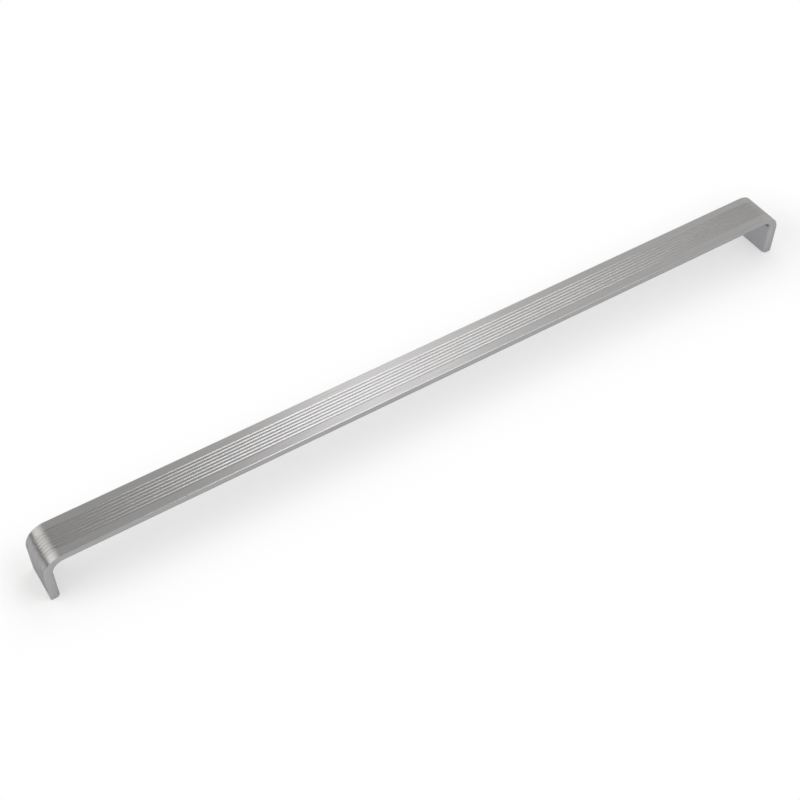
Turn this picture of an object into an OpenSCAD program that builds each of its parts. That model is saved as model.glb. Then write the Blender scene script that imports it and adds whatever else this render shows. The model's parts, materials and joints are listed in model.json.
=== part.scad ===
// Bow furniture handle: one flat bar, grooved along its outer face and bent down into two legs.
// The feet stand on z = 0, the length runs along X and the width along Y.

/* [Overall] */
// Distance between the two screw holes
hole_spacing = 512; // [96:32:960]
// Height of the grip's outer face above the surface the handle is screwed to
handle_h = 33; // [28:0.5:60]

/* [Bar section] */
// Width of the flat bar
bar_w = 25.4; // [20:0.1:40]
// Thickness of the flat bar
bar_t = 5.7; // [5:0.1:10]
// Radius along the two long edges of the inner face
inner_edge_r = 2.3; // [0.5:0.1:2.5]
// Radius along the two long edges of the outer face
outer_edge_r = 0.4; // [0.1:0.1:1.5]

/* [Bends] */
// Radius of the inner face in the two bends
bend_r = 7.5; // [3:0.5:12]

/* [Grooves] */
// Number of grooves side by side in the outer face
groove_count = 7; // [1:1:8]
// Distance from one groove to the next
groove_pitch = 2.15; // [1.8:0.05:2.4]
// Width of a groove at the outer face
groove_w = 1.5; // [0.8:0.1:1.7]
// Depth of a groove at its middle
groove_depth = 0.35; // [0.1:0.05:0.6]

/* [Screw holes] */
// Diameter of the hole, drilled to take an M4 thread
hole_d = 3.3; // [2.5:0.1:3.6]
// Depth of the hole at full diameter
hole_depth = 12; // [6:0.5:14]
// Diameter of the lead-in at the mouth of the hole
lead_in_d = 4.2; // [3.7:0.1:4.4]
// Included angle of the drill point at the end of the hole
drill_point_angle = 118; // [90:1:140]

/* [Hidden] */
$fn = 96;

// The screw holes lie midway between the inner face and the groove floors
hole_from_inner = (bar_t - groove_depth) / 2;
handle_l = hole_spacing + 2 * (bar_t - hole_from_inner);
outer_bend_r = bend_r + bar_t;
grip_l = handle_l - 2 * outer_bend_r;
leg_h = handle_h - outer_bend_r;
// Radius of the arc that has the groove's width and depth
groove_r = (pow(groove_w / 2, 2) + pow(groove_depth, 2)) / (2 * groove_depth);
lead_in_depth = (lead_in_d - hole_d) / 2;
drill_point_h = hole_d / 2 / tan(drill_point_angle / 2);
// Distance that cutters reach past the faces they open
overcut = 1;

// Section of the bar before grooving: x from the inner to the outer face, y across the width
module plain_section() {
    inner_y = bar_w / 2 - inner_edge_r;
    outer_x = bar_t - outer_edge_r;
    outer_y = bar_w / 2 - outer_edge_r;
    translate([0, -inner_y]) square([outer_x, 2 * inner_y]);
    translate([inner_edge_r, -outer_y]) square([bar_t - inner_edge_r, 2 * outer_y]);
    translate([inner_edge_r, -bar_w / 2]) square([outer_x - inner_edge_r, bar_w]);
    for (side = [-1, 1]) {
        translate([inner_edge_r, side * inner_y]) circle(r = inner_edge_r);
        translate([outer_x, side * outer_y]) circle(r = outer_edge_r);
    }
}

// Row of round-bottomed grooves centred on the outer face
module groove_row() {
    for (i = [0 : groove_count - 1])
        translate([bar_t + groove_r - groove_depth, (i - (groove_count - 1) / 2) * groove_pitch])
            circle(r = groove_r);
}

module bar_section() {
    difference() {
        plain_section();
        groove_row();
    }
}

// Straight stretch between the bends
module grip() {
    translate([0, 0, handle_h - bar_t])
        rotate([0, -90, 0])
            linear_extrude(grip_l, center = true) bar_section();
}

// The section carried round a quarter turn, grip to leg, at the +X end
module bend() {
    translate([grip_l / 2, 0, leg_h])
        rotate([90, 0, 0])
            rotate_extrude(angle = 90) translate([bend_r, 0]) bar_section();
}

// Straight leg down to its foot, at the +X end
module leg() {
    translate([handle_l / 2 - bar_t, 0, 0])
        linear_extrude(leg_h) bar_section();
}

// Blind screw hole in the foot at the +X end: lead-in, drilled bore and drill point in one turned form
module screw_hole() {
    bore_r = hole_d / 2;
    translate([hole_spacing / 2, 0, 0])
        rotate_extrude()
            polygon([
                [0, -overcut],
                [lead_in_d / 2, -overcut],
                [lead_in_d / 2, 0],
                [bore_r, lead_in_depth],
                [bore_r, hole_depth],
                [0, hole_depth + drill_point_h]
            ]);
}

module handle() {
    color([0.78, 0.78, 0.77])
        difference() {
            union() {
                grip();
                for (end = [0, 1])
                    mirror([end, 0, 0]) {
                        bend();
                        leg();
                    }
            }
            for (end = [0, 1])
                mirror([end, 0, 0]) screw_hole();
        }
}

handle();
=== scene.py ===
"""Bow furniture handle in satin metal: a swept, finely grooved bar, tapped feet, floor, light and camera."""

import json
import math
from typing import NamedTuple

import bpy
from mathutils import Matrix, Vector
from mathutils.geometry import tessellate_polygon


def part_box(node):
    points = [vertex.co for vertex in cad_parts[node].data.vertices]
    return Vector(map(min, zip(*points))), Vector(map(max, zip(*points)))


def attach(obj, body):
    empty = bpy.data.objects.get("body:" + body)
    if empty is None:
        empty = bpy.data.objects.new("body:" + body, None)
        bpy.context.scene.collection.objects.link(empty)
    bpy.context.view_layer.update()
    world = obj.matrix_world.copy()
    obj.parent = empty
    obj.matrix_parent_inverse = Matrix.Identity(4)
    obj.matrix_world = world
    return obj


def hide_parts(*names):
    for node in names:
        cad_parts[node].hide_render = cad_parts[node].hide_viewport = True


MM = 0.001
RIGHT_ANGLE = math.pi / 2
FULL_TURN = 2 * math.pi

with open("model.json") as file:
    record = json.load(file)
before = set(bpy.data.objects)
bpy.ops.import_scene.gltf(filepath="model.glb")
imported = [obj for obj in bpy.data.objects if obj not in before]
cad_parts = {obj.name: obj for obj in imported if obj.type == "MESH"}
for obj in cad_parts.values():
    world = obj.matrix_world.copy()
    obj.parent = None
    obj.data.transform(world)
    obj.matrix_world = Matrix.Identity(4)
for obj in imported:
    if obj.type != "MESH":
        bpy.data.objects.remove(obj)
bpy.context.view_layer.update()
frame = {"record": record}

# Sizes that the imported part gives
BOX_LOW, BOX_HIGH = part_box("handle")
HANDLE_L = BOX_HIGH.x - BOX_LOW.x
BAR_W = BOX_HIGH.y - BOX_LOW.y
HANDLE_H = BOX_HIGH.z - BOX_LOW.z
SCREWS = next(m for m in frame["record"]["mounts"] if m["name"] == "screw_holes")["dims"]
HOLE_SPACING = SCREWS["spacing_x_mm"] * MM
HOLE_R = SCREWS["hole_r_mm"] * MM

# Sizes of the bar's section and bends, as the part's source has them; the rounding of the lips is added here
GROOVE_COUNT = 7
GROOVE_PITCH = 2.15 * MM
GROOVE_W = 1.5 * MM
GROOVE_DEPTH = 0.35 * MM
GROOVE_LIP_R = 0.12 * MM
INNER_EDGE_R = 2.3 * MM
OUTER_EDGE_R = 0.4 * MM
BEND_R = 7.5 * MM
# The holes lie midway between the inner face and the groove bottoms, which gives the bar's thickness
BAR_T = HANDLE_L - HOLE_SPACING - GROOVE_DEPTH

# Path of the bar's inner face: the legs' X, the grip's height, and the X and height of the bends' centres
LEG_X = HANDLE_L / 2 - BAR_T
GRIP_Z = HANDLE_H - BAR_T
BEND_X = HANDLE_L / 2 - BEND_R - BAR_T
BEND_Z = HANDLE_H - BEND_R - BAR_T

# Sizes of the holes, as the source has them; the thread and the rounding of the feet are added here
THREAD_PITCH = 0.7 * MM
THREAD_R = 2.0 * MM
THREAD_LENGTH = 9.5 * MM
HOLE_DEPTH = 12.0 * MM
LEAD_IN_R = 2.1 * MM
DRILL_POINT_ANGLE = math.radians(118)
FOOT_EDGE_R = 0.35 * MM
# Share of a half pitch that is flat at a thread's crest, and again at its root
THREAD_FLAT = 0.1

# How finely the round stretches are cut
GROOVE_STEPS = 10
LIP_STEPS = 3
INNER_EDGE_STEPS = 12
OUTER_EDGE_STEPS = 6
BEND_STEPS = 32
GRIP_STEPS = 40
LEG_STEPS = 10
FOOT_EDGE_STEPS = 4
THREAD_TURN_STEPS = 40
THREAD_PITCH_STEPS = 8
# Distance from the end of a round stretch to a support point on the flat beside it
SUPPORT = 0.06 * MM
# Angle between two faces from which their edge is shaded sharp
SHARP_ANGLE = math.radians(32)

# Camera, as the photograph was taken: place in metres, angles in degrees, focal length in image widths
CAMERA_PLACE = Vector((-0.32306, -0.46169, 0.64006))
CAMERA_AZIMUTH = -32.61
CAMERA_ELEVATION = 48.95
CAMERA_ROLL = 0.21
FOCAL_LENGTH = 1394.4 / 800
SENSOR_WIDTH = 36.0

# Names of the mesh's texture places and of its wear, which also carries a painted edge sheen, and the numbers
# of its materials
UV_NAME = "length_and_girth"
WEAR_AND_SHEEN_NAME = "rubbed"
SATIN, SAWN, THREAD = range(3)

# Colours of the metal, as plain reflectance
SATIN_DARK = (0.343, 0.341, 0.348)
SATIN_LIGHT = (0.455, 0.453, 0.463)
SATIN_CLOUD = (0.402, 0.399, 0.404)
# The rubbed colour is real edge wear that is also lighter than the satin, so it paints a highlight line along
# the outer edges and groove lips
RUBBED_AND_SHEEN = (0.68, 0.678, 0.68)
SAWN_DARK = (0.46, 0.46, 0.465)
SAWN_LIGHT = (0.60, 0.60, 0.605)
# Share of its colour that the metal keeps towards grazing angles
EDGE_TINT = (0.62, 0.62, 0.62)

# Brushing: how strongly it stretches the gloss, and the turn that lays it along the texture's U or V
BRUSH_ANISOTROPY = 0.35
BRUSHED_ALONG_U = 0.25
BRUSHED_ALONG_V = 0.0

# Noise in the metal: features to a unit of U and of V, and detail. Units are metres, and turns for a hole's V
HAIRLINES = (70, 7000, 2)
STREAKS = (30, 1100, 2)
CLOUDS = (40, 160, 3)
RUB_PATCHES = (25, 900, 2)
SAW_MARKS = (5200, 90, 2)
SAW_PASSES = (900, 30, 1)
TAP_TEARING = (9000, 6, 2)
# Noise values that count as lowest and highest
NOISE_SPAN = (0.3, 0.7)
PATCH_SPAN = (0.35, 0.65)

# Shares: hairlines in the satin grain, saw marks in the sawn one, the most of the cloud colour and of the
# rubbed colour with its painted sheen, and the least of an edge's wear that a patch leaves
HAIRLINE_SHARE = 0.5
SAW_MARK_SHARE = 0.55
CLOUD_SHARE = 0.5
RUBBED_AND_SHEEN_SHARE = 0.75
LEAST_PATCH = 0.35

# Roughness at the lowest and highest noise, and how much of it full wear takes away
SATIN_ROUGHNESS = (0.352, 0.292)
SAWN_ROUGHNESS = (0.5, 0.36)
THREAD_ROUGHNESS = (0.4, 0.26)
RUBBED_POLISH = 0.05

# Bump: strength and depth
SATIN_BUMP = (0.06, 0.05 * MM)
SAWN_BUMP = (0.25, 0.05 * MM)
THREAD_BUMP = (0.15, 0.03 * MM)

# Wear of each kind of edge, where 1 is fully rubbed; on the outer edges and groove lips its lighter colour
# also paints a highlight line
OUTER_EDGE_WEAR_AND_SHEEN = 0.8
INNER_EDGE_WEAR = 0.15
LIP_WEAR_AND_SHEEN = 0.35
FOOT_WEAR = 0.27

# Floor, in metres: its size and colour, the distances from the handle over which clean white takes over, and
# the share of that white by the handle
FLOOR_SIZE = 80.0
FLOOR_COLOUR = (0.885, 0.890, 0.925)
SHADOW_REACH = (0.012, 0.065)
WHITE_BY_HANDLE = 0.4
WHITE = (1.0, 1.0, 1.0)

# Room: its light at the middle, how that grows along X and Y, its least, its colour, and the sines of the
# heights between which the white of the floor's far edge fades out
ROOM_LEVEL = 0.320
ROOM_SLOPE = (0.633, 0.399, 0.0)
ROOM_LEAST = 0.02
ROOM_COLOUR = (1.0, 0.99, 0.95)
WHITE_HORIZON = (0.03, 0.05)

LAMP_COLOUR = (1.0, 0.996, 0.985)
WARM_LAMP_COLOUR = (1.0, 0.980, 0.915)


class Softbox(NamedTuple):
    """Lamp aimed at the origin: place and size in metres, spin in radians, radiance where 1 is a white
    ground's, and the share of the half side over which each side fades: -X, +X, -Y and +Y."""
    name: str
    place: tuple
    size: tuple
    spin: float
    radiance: float
    fades: tuple
    colour: tuple = LAMP_COLOUR


# The softboxes make the photograph's highlights; the cards lighten the front edge and the other sides
SOFTBOXES = (
    Softbox("softbox_above", (0.130, -0.031, 0.550), (0.339, 1.035), 0.256, 2.40, (0.46, 1.89, 0.28, 0.21)),
    Softbox("softbox_left", (-0.587, 0.121, 0.440), (0.602, 0.846), 0.116, 2.10, (0.07, 0.05, 0.32, 0.99),
            WARM_LAMP_COLOUR),
    Softbox("softbox_front", (0.235, -0.275, 0.439), (0.345, 0.657), 0.794, 2.36, (0.06, 0.75, 0.05, 0.81)),
    Softbox("softbox_back", (0.363, 0.599, 0.231), (0.502, 0.339), 0.549, 0.96, (0.18, 0.26, 0.13, 0.59)),
    Softbox("edge_card", (0.170, -0.750, 0.240), (0.420, 0.360), -0.650, 2.40, (0.60, 0.60, 0.40, 0.40)),
    Softbox("back_card", (-0.600, 0.720, 0.500), (1.150, 0.560), -1.057, 0.60, (0.50, 0.50, 0.40, 0.40)),
    Softbox("fill_card", (-0.826, -1.322, 0.900), (1.900, 1.300), 0.900, 0.75, (0.50, 0.50, 0.50, 0.50)),
)


class Section(NamedTuple):
    """Closed outline of the bar: points (x, y), x from the inner to the outer face and y across; the wear at
    each point, which also paints a sheen on the outer edges and groove lips; and the running length round it,
    from 0 to the whole way round."""
    points: list
    wear: list
    lengths: list


class Station(NamedTuple):
    """Place of the bar's inner face on its path, and the direction outwards from it."""
    place: Vector
    outward: Vector

    def at(self, x, y=0.0):
        """Where a point of the section comes to lie at this station."""
        return self.place + self.outward * x + Vector((0, y, 0))


def held(value):
    """A number held between 0 and 1."""
    return min(1, max(0, value))


def arc(centre, radius, start, end, steps):
    """Points (x, y) round an arc from one angle to another, both ends included."""
    angles = [start + (end - start) * i / steps for i in range(steps + 1)]
    return [(centre[0] + radius * math.cos(a), centre[1] + radius * math.sin(a)) for a in angles]


def rubbed_and_sheen_arc(centre, radius, start, end, steps, most):
    """Points (x, y, wear) round an arc, rubbed most half way round and not at all at its ends; the wear also
    carries a painted sheen.
    """
    points = arc(centre, radius, start, end, steps)
    return [(x, y, most * math.sin(math.pi * i / steps)) for i, (x, y) in enumerate(points)]


def inner_edge(y, start, end):
    """Rounded long edge of the inner face, with its centre at y."""
    return rubbed_and_sheen_arc((INNER_EDGE_R, y), INNER_EDGE_R, start, end, INNER_EDGE_STEPS, INNER_EDGE_WEAR)


def outer_edge(y, start, end):
    """Rounded long edge of the grooved face, with its centre at y."""
    return rubbed_and_sheen_arc((BAR_T - OUTER_EDGE_R, y), OUTER_EDGE_R, start, end, OUTER_EDGE_STEPS, OUTER_EDGE_WEAR_AND_SHEEN)


def groove_points(middle):
    """One groove from its +y lip to its -y lip: rounded lip, round bottom, rounded lip."""
    radius = ((GROOVE_W / 2) ** 2 + GROOVE_DEPTH ** 2) / (2 * GROOVE_DEPTH)
    bottom_centre = (BAR_T + radius - GROOVE_DEPTH, middle)
    lip_x = BAR_T - GROOVE_LIP_R
    lip_y = math.sqrt((radius + GROOVE_LIP_R) ** 2 - (bottom_centre[0] - lip_x) ** 2)
    half = math.asin(lip_y / (radius + GROOVE_LIP_R))
    points = rubbed_and_sheen_arc((lip_x, middle + lip_y), GROOVE_LIP_R, 0, -half, LIP_STEPS, LIP_WEAR_AND_SHEEN)
    points += rubbed_and_sheen_arc(bottom_centre, radius, math.pi - half, math.pi + half, GROOVE_STEPS, 0)[1:-1]
    points += rubbed_and_sheen_arc((lip_x, middle - lip_y), GROOVE_LIP_R, half, 0, LIP_STEPS, LIP_WEAR_AND_SHEEN)
    return points


def ring_lengths(points):
    """Running length round a closed ring, from 0 to the whole way round."""
    lengths = [0.0]
    for i, point in enumerate(points):
        following = Vector(points[(i + 1) % len(points)])
        lengths.append(lengths[-1] + (following - Vector(point)).length)
    return lengths


def bar_section():
    """Section of the bar, drawn from one inner edge over the grooves to the other."""
    inner_y, outer_y = BAR_W / 2 - INNER_EDGE_R, BAR_W / 2 - OUTER_EDGE_R
    stretches = [inner_edge(inner_y, math.pi, RIGHT_ANGLE), outer_edge(outer_y, RIGHT_ANGLE, 0)]
    for i in range(GROOVE_COUNT):
        stretches.append(groove_points(((GROOVE_COUNT - 1) / 2 - i) * GROOVE_PITCH))
    stretches += [outer_edge(-outer_y, 0, -RIGHT_ANGLE), inner_edge(-inner_y, -RIGHT_ANGLE, -math.pi)]
    triples = []
    for k, stretch in enumerate(stretches):
        last, first = Vector(stretch[-1]), Vector(stretches[(k + 1) % len(stretches)][0])
        along = (first - last).normalized() * SUPPORT
        triples += stretch + [tuple(last + along), tuple(first - along)]
    points = [(x, y) for x, y, _ in triples]
    return Section(points, [wear for _, _, wear in triples], ring_lengths(points))


def inset_section(points, distance):
    """The section drawn in by a distance: its grooved field cut level, the rest square to its outline."""
    field = GROOVE_COUNT * GROOVE_PITCH / 2
    inset = []
    for i, (x, y) in enumerate(points):
        if abs(y) < field and x > BAR_T / 2:
            inset.append((min(x, BAR_T - distance), y))
            continue
        before, after = Vector(points[i - 1]), Vector(points[(i + 1) % len(points)])
        along = (after - before).normalized()
        inset.append((x + along.y * distance, y - along.x * distance))
    return inset


def straight_stations(start, end, steps, outward):
    """Stations along a straight stretch, with support by both ends; its end belongs to the next stretch."""
    start, end = Vector(start), Vector(end)
    support = SUPPORT / (end - start).length
    parts = [0, support] + [i / steps for i in range(1, steps)] + [1 - support]
    return [Station(start.lerp(end, part), outward) for part in parts]


def bend_stations(centre_x, start, end):
    """Stations round a bend from one angle to another; its end belongs to the next stretch."""
    stations = []
    for i in range(BEND_STEPS):
        angle = start + (end - start) * i / BEND_STEPS
        outward = Vector((math.cos(angle), 0, math.sin(angle)))
        stations.append(Station(Vector((centre_x, 0, BEND_Z)) + outward * BEND_R, outward))
    return stations


def path_stations():
    """Stations from the -X foot over the grip to the +X foot."""
    left, up, right = Vector((-1, 0, 0)), Vector((0, 0, 1)), Vector((1, 0, 0))
    stations = straight_stations((-LEG_X, 0, FOOT_EDGE_R), (-LEG_X, 0, BEND_Z), LEG_STEPS, left)
    stations += bend_stations(-BEND_X, math.pi, RIGHT_ANGLE)
    stations += straight_stations((-BEND_X, 0, GRIP_Z), (BEND_X, 0, GRIP_Z), GRIP_STEPS, up)
    stations += bend_stations(BEND_X, RIGHT_ANGLE, 0)
    stations += straight_stations((LEG_X, 0, BEND_Z), (LEG_X, 0, FOOT_EDGE_R), LEG_STEPS, right)
    stations.append(Station(Vector((LEG_X, 0, FOOT_EDGE_R)), right))
    return stations


class MeshParts:
    """A mesh while it is put together: vertices, their wear with its painted edge sheen, faces, texture
    places and material numbers.
    """

    def __init__(self):
        self.verts = []
        self.wear = []
        self.faces = []
        self.uvs = []
        self.slots = []

    def add_row(self, points, wear=None):
        """Add points, unworn if nothing is said, and give their numbers."""
        first = len(self.verts)
        self.verts += [tuple(p) for p in points]
        self.wear += wear or [0.0] * len(points)
        return list(range(first, len(self.verts)))

    def add_face(self, corners, uvs, slot):
        """Add a face with the texture place of each corner and its material's number."""
        self.faces.append(corners)
        self.uvs += uvs
        self.slots.append(slot)

    def join_rows(self, row_a, row_b, u_a, u_b, vs, slot, flip=False):
        """Closed band of quads between two rings; vs has one value more than a ring has points."""
        count = len(row_a)
        for i in range(count):
            j = (i + 1) % count
            corners = [row_a[i], row_a[j], row_b[j], row_b[i]]
            uvs = [(u_a, vs[i]), (u_a, vs[i + 1]), (u_b, vs[i + 1]), (u_b, vs[i])]
            if flip:
                corners.reverse()
                uvs.reverse()
            self.add_face(corners, uvs, slot)


def hole_radius(z, angle):
    """Radius of a tapped hole: its lead-in, its thread, which runs out over a pitch, and its plain bore."""
    phase = (z / THREAD_PITCH - angle / FULL_TURN) % 1
    ridge = held((abs(2 * phase - 1) - THREAD_FLAT) / (1 - 2 * THREAD_FLAT))
    run_out = held((THREAD_LENGTH - z) / THREAD_PITCH)
    return max(HOLE_R + (THREAD_R - HOLE_R) * run_out * ridge, LEAD_IN_R - z)


def hole_ring(middle, z):
    """Points round the wall of a tapped hole at a height."""
    points = []
    for i in range(THREAD_TURN_STEPS):
        angle = FULL_TURN * i / THREAD_TURN_STEPS
        radius = hole_radius(z, angle)
        points.append(middle + Vector((radius * math.cos(angle), radius * math.sin(angle), z)))
    return points


def add_foot_face(parts, rings, rows, middle):
    """Sawn face between the rim of a foot and the mouth of its hole, facing down."""
    for triangle in tessellate_polygon(rings):
        corners = [rows[i] for i in triangle]
        a, b, c = (Vector(parts.verts[i]) for i in corners)
        if (b - a).cross(c - a).z > 0:
            corners.reverse()
        uvs = [tuple((Vector(parts.verts[i]) - middle).xy) for i in corners]
        parts.add_face(corners, uvs, SAWN)


def add_hole(parts, side, foot_row, foot_ring):
    """Foot face with its tapped hole: lead-in, thread, plain bore and drill point."""
    middle = Vector((side * HOLE_SPACING / 2, 0, 0))
    mouth = hole_ring(middle, 0)
    row = parts.add_row(mouth)
    add_foot_face(parts, [foot_ring, mouth], foot_row + row, middle)

    around = [i / THREAD_TURN_STEPS for i in range(THREAD_TURN_STEPS + 1)]
    step = THREAD_PITCH / THREAD_PITCH_STEPS
    heights = [step * i for i in range(math.ceil(THREAD_LENGTH / step) + 1)] + [HOLE_DEPTH]
    for z_before, z in zip(heights, heights[1:]):
        next_row = parts.add_row(hole_ring(middle, z))
        parts.join_rows(row, next_row, z_before, z, around, THREAD, flip=True)
        row = next_row

    tip_z = HOLE_DEPTH + HOLE_R / math.tan(DRILL_POINT_ANGLE / 2)
    tip = parts.add_row([middle + Vector((0, 0, tip_z))])[0]
    for i in range(THREAD_TURN_STEPS):
        j = (i + 1) % THREAD_TURN_STEPS
        uvs = [(HOLE_DEPTH, around[i + 1]), (HOLE_DEPTH, around[i]), (tip_z, around[i])]
        parts.add_face([row[j], row[i], tip], uvs, THREAD)


def placed(points, station):
    """Section points set at a station of the path."""
    return [station.at(x, y) for x, y in points]


def add_foot(parts, side, rim_row, station, u, section):
    """Rounded rim of a foot, then its sawn face with the tapped hole."""
    row, u_step = rim_row, side * FOOT_EDGE_R * RIGHT_ANGLE / FOOT_EDGE_STEPS
    for k in range(1, FOOT_EDGE_STEPS + 1):
        turn = RIGHT_ANGLE * k / FOOT_EDGE_STEPS
        drop = Vector((0, 0, -FOOT_EDGE_R * math.sin(turn)))
        outline = inset_section(section.points, FOOT_EDGE_R * (1 - math.cos(turn)))
        ring = placed(outline, Station(station.place + drop, station.outward))
        rub = FOOT_WEAR * math.sin(2 * turn)
        next_row = parts.add_row(ring, [max(wear, rub) for wear in section.wear])
        parts.join_rows(row, next_row, u, u + u_step, section.lengths, SATIN, flip=side < 0)
        row, u = next_row, u + u_step
    add_hole(parts, side, row, ring)


def swept_bar():
    """Mesh parts of the handle: the section carried along the path, then both feet."""
    section = bar_section()
    stations = path_stations()
    parts = MeshParts()
    rows = [parts.add_row(placed(section.points, station), section.wear) for station in stations]
    length = 0.0
    for k in range(1, len(stations)):
        length_before = length
        length += (stations[k].at(BAR_T) - stations[k - 1].at(BAR_T)).length
        parts.join_rows(rows[k - 1], rows[k], length_before, length, section.lengths, SATIN)
    add_foot(parts, -1, rows[0], stations[0], 0.0, section)
    add_foot(parts, 1, rows[-1], stations[-1], length, section)
    return parts


def handle_mesh():
    """Mesh of the handle with its texture places, wear and material numbers."""
    parts = swept_bar()
    mesh = bpy.data.meshes.new("handle_body")
    mesh.from_pydata(parts.verts, [], parts.faces)
    uv_layer = mesh.uv_layers.new(name=UV_NAME)
    for loop, uv in zip(uv_layer.data, parts.uvs):
        loop.uv = uv
    rubbed = mesh.attributes.new(WEAR_AND_SHEEN_NAME, "FLOAT", "POINT")
    rubbed.data.foreach_set("value", parts.wear)
    mesh.polygons.foreach_set("material_index", parts.slots)
    mesh.shade_smooth()
    mesh.set_sharp_from_angle(angle=SHARP_ANGLE)
    mesh.validate()
    return mesh


class NodeMaker:
    """Short ways to add nodes to a node tree and to join them."""

    def __init__(self, tree):
        self.tree = tree

    def node(self, kind, **settings):
        """A new node with some of its settings."""
        node = self.tree.nodes.new(kind)
        for key, value in settings.items():
            setattr(node, key, value)
        return node

    def put(self, socket, value):
        """Join another node's output to a socket, or set the socket to a plain value."""
        if isinstance(value, bpy.types.NodeSocket):
            self.tree.links.new(value, socket)
        else:
            socket.default_value = value

    def calculate(self, operation, *values):
        """Result of a Math node."""
        node = self.node("ShaderNodeMath", operation=operation)
        for socket, value in zip(node.inputs, values):
            self.put(socket, value)
        return node.outputs[0]

    def weighted(self, share, first, second):
        """A share of the first value, with the rest from the second."""
        return self.calculate("MULTIPLY_ADD", first, share, self.calculate("MULTIPLY", second, 1 - share))

    def span(self, value, low, high, start, end, kind="LINEAR"):
        """A value between low and high, mapped to the range from start to end and held there."""
        node = self.node("ShaderNodeMapRange", interpolation_type=kind, clamp=True)
        for socket, number in zip(node.inputs, (value, low, high, start, end)):
            self.put(socket, number)
        return node.outputs[0]

    def mix(self, share, colour_a, colour_b):
        """Colour between two colours, each of them plain or another node's output."""
        node = self.node("ShaderNodeMix", data_type="RGBA")
        self.put(node.inputs["Factor"], share)
        sockets = [socket for socket in node.inputs if socket.type == "RGBA"]
        for socket, colour in zip(sockets, (colour_a, colour_b)):
            self.put(socket, colour if isinstance(colour, bpy.types.NodeSocket) else (*colour, 1))
        return next(socket for socket in node.outputs if socket.type == "RGBA")


class Metal(NodeMaker):
    """A new brushed metal: its Principled shader's inputs, and noise in the mesh's texture places."""

    def __init__(self, name, brushing):
        self.material = bpy.data.materials.new(name)
        self.material.use_nodes = True
        super().__init__(self.material.node_tree)
        self.inputs = self.tree.nodes["Principled BSDF"].inputs
        self.put(self.inputs["Metallic"], 1.0)
        self.put(self.inputs["Specular Tint"], (*EDGE_TINT, 1))
        self.put(self.inputs["Anisotropic"], BRUSH_ANISOTROPY)
        self.put(self.inputs["Anisotropic Rotation"], brushing)
        tangent = self.node("ShaderNodeTangent", direction_type="UV_MAP", uv_map=UV_NAME)
        self.put(self.inputs["Tangent"], tangent.outputs[0])
        self.places = self.node("ShaderNodeUVMap", uv_map=UV_NAME).outputs[0]

    def noise(self, per_u, per_v, detail):
        """Noise with its own number of features to a unit of U and of V."""
        mapping = self.node("ShaderNodeMapping")
        self.put(mapping.inputs["Scale"], (per_u, per_v, 1))
        self.put(mapping.inputs["Vector"], self.places)
        noise = self.node("ShaderNodeTexNoise")
        self.put(noise.inputs["Scale"], 1.0)
        self.put(noise.inputs["Detail"], detail)
        self.put(noise.inputs["Vector"], mapping.outputs[0])
        return noise.outputs["Fac"]

    def set_surface(self, colour, roughness, height, bump):
        """Set what varies over the surface; bump is the strength and depth that the height gets."""
        self.put(self.inputs["Base Color"], colour)
        self.put(self.inputs["Roughness"], roughness)
        bumps = self.node("ShaderNodeBump")
        for name, value in zip(("Strength", "Distance"), bump):
            self.put(bumps.inputs[name], value)
        self.put(bumps.inputs["Height"], height)
        self.put(self.inputs["Normal"], bumps.outputs[0])

    def set_bare(self, marks, roughness, bump):
        """Set bare metal whose colour, roughness and bump follow the marks of a tool."""
        colour = self.mix(self.span(marks, *NOISE_SPAN, 0, 1), SAWN_DARK, SAWN_LIGHT)
        self.set_surface(colour, self.span(marks, *NOISE_SPAN, *roughness), marks, bump)


def satin_metal():
    """Anodised bar: fine brushing along its length, faint clouding, and edges rubbed bright by hands, whose
    lighter colour also paints a highlight line along the outer edges and groove lips.
    """
    metal = Metal("satin_metal", BRUSHED_ALONG_U)
    grain = metal.weighted(HAIRLINE_SHARE, metal.noise(*HAIRLINES), metal.noise(*STREAKS))
    clouds = metal.span(metal.noise(*CLOUDS), *NOISE_SPAN, 0, CLOUD_SHARE)
    edges = metal.node("ShaderNodeAttribute", attribute_name=WEAR_AND_SHEEN_NAME).outputs["Fac"]
    patches = metal.span(metal.noise(*RUB_PATCHES), *PATCH_SPAN, LEAST_PATCH, 1)
    worn_and_sheen = metal.calculate("MULTIPLY", edges, patches)

    colour = metal.mix(metal.span(grain, *NOISE_SPAN, 0, 1), SATIN_DARK, SATIN_LIGHT)
    colour = metal.mix(clouds, colour, SATIN_CLOUD)
    # Lighter rubbed colour on the worn edges: real wear, and also a painted highlight along the outer edges
    # and groove lips
    colour = metal.mix(metal.calculate("MULTIPLY", worn_and_sheen, RUBBED_AND_SHEEN_SHARE), colour, RUBBED_AND_SHEEN)
    roughness = metal.span(grain, *NOISE_SPAN, *SATIN_ROUGHNESS)
    roughness = metal.calculate("SUBTRACT", roughness, metal.calculate("MULTIPLY", worn_and_sheen, RUBBED_POLISH))
    metal.set_surface(colour, roughness, grain, SATIN_BUMP)
    return metal.material


def sawn_metal():
    """Cut end of the bar: bare metal with saw marks across it."""
    metal = Metal("sawn_metal", BRUSHED_ALONG_V)
    marks = metal.weighted(SAW_MARK_SHARE, metal.noise(*SAW_MARKS), metal.noise(*SAW_PASSES))
    metal.set_bare(marks, SAWN_ROUGHNESS, SAWN_BUMP)
    return metal.material


def thread_metal():
    """Tapped hole: bare metal with the tap's fine tearing along the turns."""
    metal = Metal("thread_metal", BRUSHED_ALONG_V)
    metal.set_bare(metal.noise(*TAP_TEARING), THREAD_ROUGHNESS, THREAD_BUMP)
    return metal.material


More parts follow.
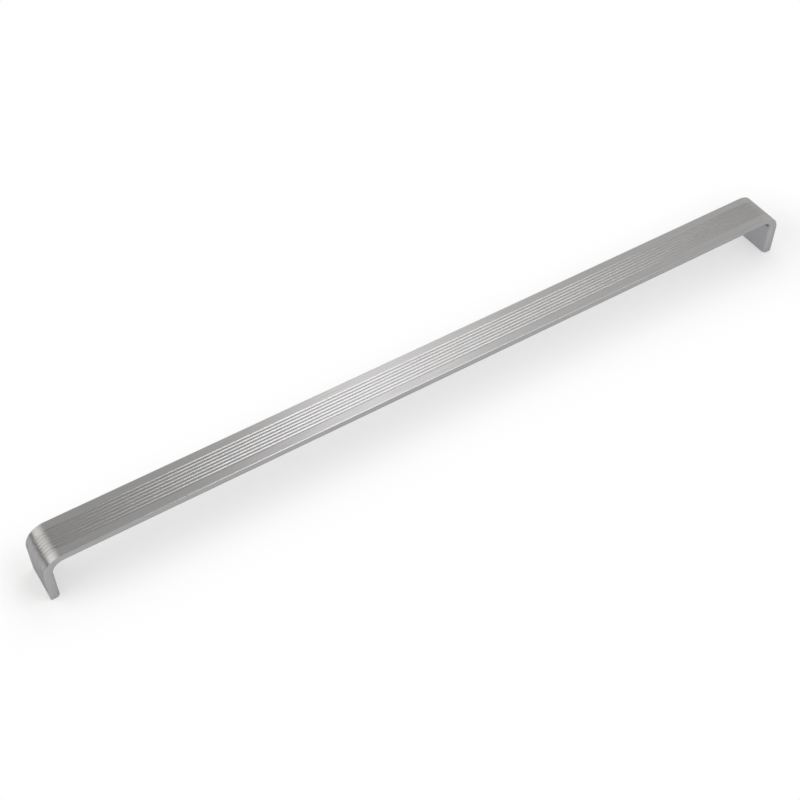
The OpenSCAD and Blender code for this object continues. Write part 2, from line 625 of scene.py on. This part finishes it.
def distance_from_handle(nodes):
    """Distance on the floor from the line that runs under the handle from end to end."""
    place = nodes.node("ShaderNodeSeparateXYZ")
    nodes.put(place.inputs[0], nodes.node("ShaderNodeNewGeometry").outputs["Position"])
    past_end = nodes.calculate("SUBTRACT", nodes.calculate("ABSOLUTE", place.outputs["X"]), HANDLE_L / 2)
    away = nodes.node("ShaderNodeCombineXYZ")
    nodes.put(away.inputs["X"], nodes.calculate("MAXIMUM", past_end, 0))
    nodes.put(away.inputs["Y"], place.outputs["Y"])
    distance = nodes.node("ShaderNodeVectorMath", operation="LENGTH")
    nodes.put(distance.inputs[0], away.outputs[0])
    return distance.outputs["Value"]


def floor_white():
    """Plainly lit white with a soft shadow by the handle, going over to clean white away from it."""
    material = bpy.data.materials.new("floor_white")
    material.use_nodes = True
    nodes = NodeMaker(material.node_tree)
    nodes.tree.nodes.remove(nodes.tree.nodes["Principled BSDF"])
    clean = nodes.span(distance_from_handle(nodes), *SHADOW_REACH, WHITE_BY_HANDLE, 1, "SMOOTHSTEP")
    rays = nodes.node("ShaderNodeLightPath").outputs
    seen = nodes.calculate("MAXIMUM", rays["Is Camera Ray"], rays["Is Glossy Ray"])
    seen = nodes.calculate("MAXIMUM", seen, rays["Is Transmission Ray"])

    lit = nodes.node("ShaderNodeBsdfDiffuse")
    nodes.put(lit.inputs["Color"], (*FLOOR_COLOUR, 1))
    white = nodes.node("ShaderNodeEmission")
    nodes.put(white.inputs["Color"], (*WHITE, 1))
    nodes.put(white.inputs["Strength"], 1.0)
    mix = nodes.node("ShaderNodeMixShader")
    nodes.put(mix.inputs["Fac"], nodes.calculate("MULTIPLY", seen, clean))
    nodes.put(mix.inputs[1], lit.outputs[0])
    nodes.put(mix.inputs[2], white.outputs[0])
    nodes.put(nodes.tree.nodes["Material Output"].inputs["Surface"], mix.outputs[0])
    return material


def add_floor():
    """Wide flat floor, which the handle stands on."""
    half = FLOOR_SIZE / 2
    corners = [(-half, -half, 0), (half, -half, 0), (half, half, 0), (-half, half, 0)]
    mesh = bpy.data.meshes.new("floor")
    mesh.from_pydata(corners, [], [(0, 1, 2, 3)])
    mesh.materials.append(floor_white())
    floor = bpy.data.objects.new("floor", mesh)
    bpy.context.scene.collection.objects.link(floor)


def soften(light, fades):
    """Let a lamp fade in from its sides, -X, +X, -Y and +Y, each over its own share of the half side."""
    light.use_nodes = True
    nodes = NodeMaker(light.node_tree)
    place = nodes.node("ShaderNodeSeparateXYZ")
    nodes.put(place.inputs[0], nodes.node("ShaderNodeNewGeometry").outputs["Parametric"])
    strength = 1.0
    for axis, side, fade in zip("XXYY", (0, 1, 0, 1), fades):
        edge = nodes.span(place.outputs[axis], side, abs(side - fade / 2), 0, 1, "SMOOTHSTEP")
        strength = nodes.calculate("MULTIPLY", strength, edge)
    nodes.put(nodes.tree.nodes["Emission"].inputs["Strength"], strength)


def add_softbox(softbox):
    """Rectangular lamp with its second side towards Y before the spin; its radiance is power / (pi area)."""
    light = bpy.data.lights.new(softbox.name, "AREA")
    light.shape = "RECTANGLE"
    light.size, light.size_y = softbox.size
    light.energy = math.pi * softbox.size[0] * softbox.size[1] * softbox.radiance
    light.color = softbox.colour
    soften(light, softbox.fades)
    lamp = bpy.data.objects.new(softbox.name, light)
    back = Vector(softbox.place).normalized()
    side = Vector((0, 1, 0)).cross(back).normalized()
    turn = Matrix((side, back.cross(side), back)).transposed() @ Matrix.Rotation(-softbox.spin, 3, "Z")
    lamp.matrix_world = Matrix.Translation(softbox.place) @ turn.to_4x4()
    bpy.context.scene.collection.objects.link(lamp)


def add_world():
    """Dim room, lighter on one side, with the white of the floor going on to just above its far edge."""
    world = bpy.data.worlds.new("studio")
    world.use_nodes = True
    bpy.context.scene.world = world
    nodes = NodeMaker(world.node_tree)
    direction = nodes.node("ShaderNodeTexCoord").outputs["Generated"]
    slope = nodes.node("ShaderNodeVectorMath", operation="DOT_PRODUCT")
    nodes.put(slope.inputs[0], direction)
    nodes.put(slope.inputs[1], ROOM_SLOPE)
    height = nodes.node("ShaderNodeSeparateXYZ")
    nodes.put(height.inputs[0], direction)
    horizon = nodes.span(height.outputs["Z"], *WHITE_HORIZON, 1, ROOM_LEAST)
    room = nodes.calculate("ADD", slope.outputs["Value"], ROOM_LEVEL)
    background = nodes.tree.nodes["Background"].inputs
    nodes.put(background["Color"], nodes.mix(horizon, ROOM_COLOUR, WHITE))
    nodes.put(background["Strength"], nodes.calculate("MAXIMUM", room, horizon))


def add_camera():
    """Camera with the photograph's place, direction, roll and focal length."""
    data = bpy.data.cameras.new("camera")
    data.sensor_fit = "HORIZONTAL"
    data.sensor_width = SENSOR_WIDTH
    data.lens = FOCAL_LENGTH * SENSOR_WIDTH
    camera = bpy.data.objects.new("camera", data)
    azimuth, elevation = math.radians(CAMERA_AZIMUTH), math.radians(CAMERA_ELEVATION)
    level = math.cos(elevation)
    back = Vector((math.sin(azimuth) * level, -math.cos(azimuth) * level, math.sin(elevation)))
    turn = back.to_track_quat("Z", "Y").to_matrix() @ Matrix.Rotation(math.radians(CAMERA_ROLL), 3, "Z")
    camera.matrix_world = Matrix.Translation(CAMERA_PLACE) @ turn.to_4x4()
    bpy.context.scene.collection.objects.link(camera)
    bpy.context.scene.camera = camera


handle = bpy.data.objects.new("handle_body", handle_mesh())
bpy.context.scene.collection.objects.link(handle)
for make_material in (satin_metal, sawn_metal, thread_metal):
    handle.data.materials.append(make_material())
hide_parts("handle")
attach(handle, "root")

add_floor()
for softbox in SOFTBOXES:
    add_softbox(softbox)
add_world()
add_camera()
bpy.context.scene.view_settings.view_transform = "Standard"

bpy.context.view_layer.update()
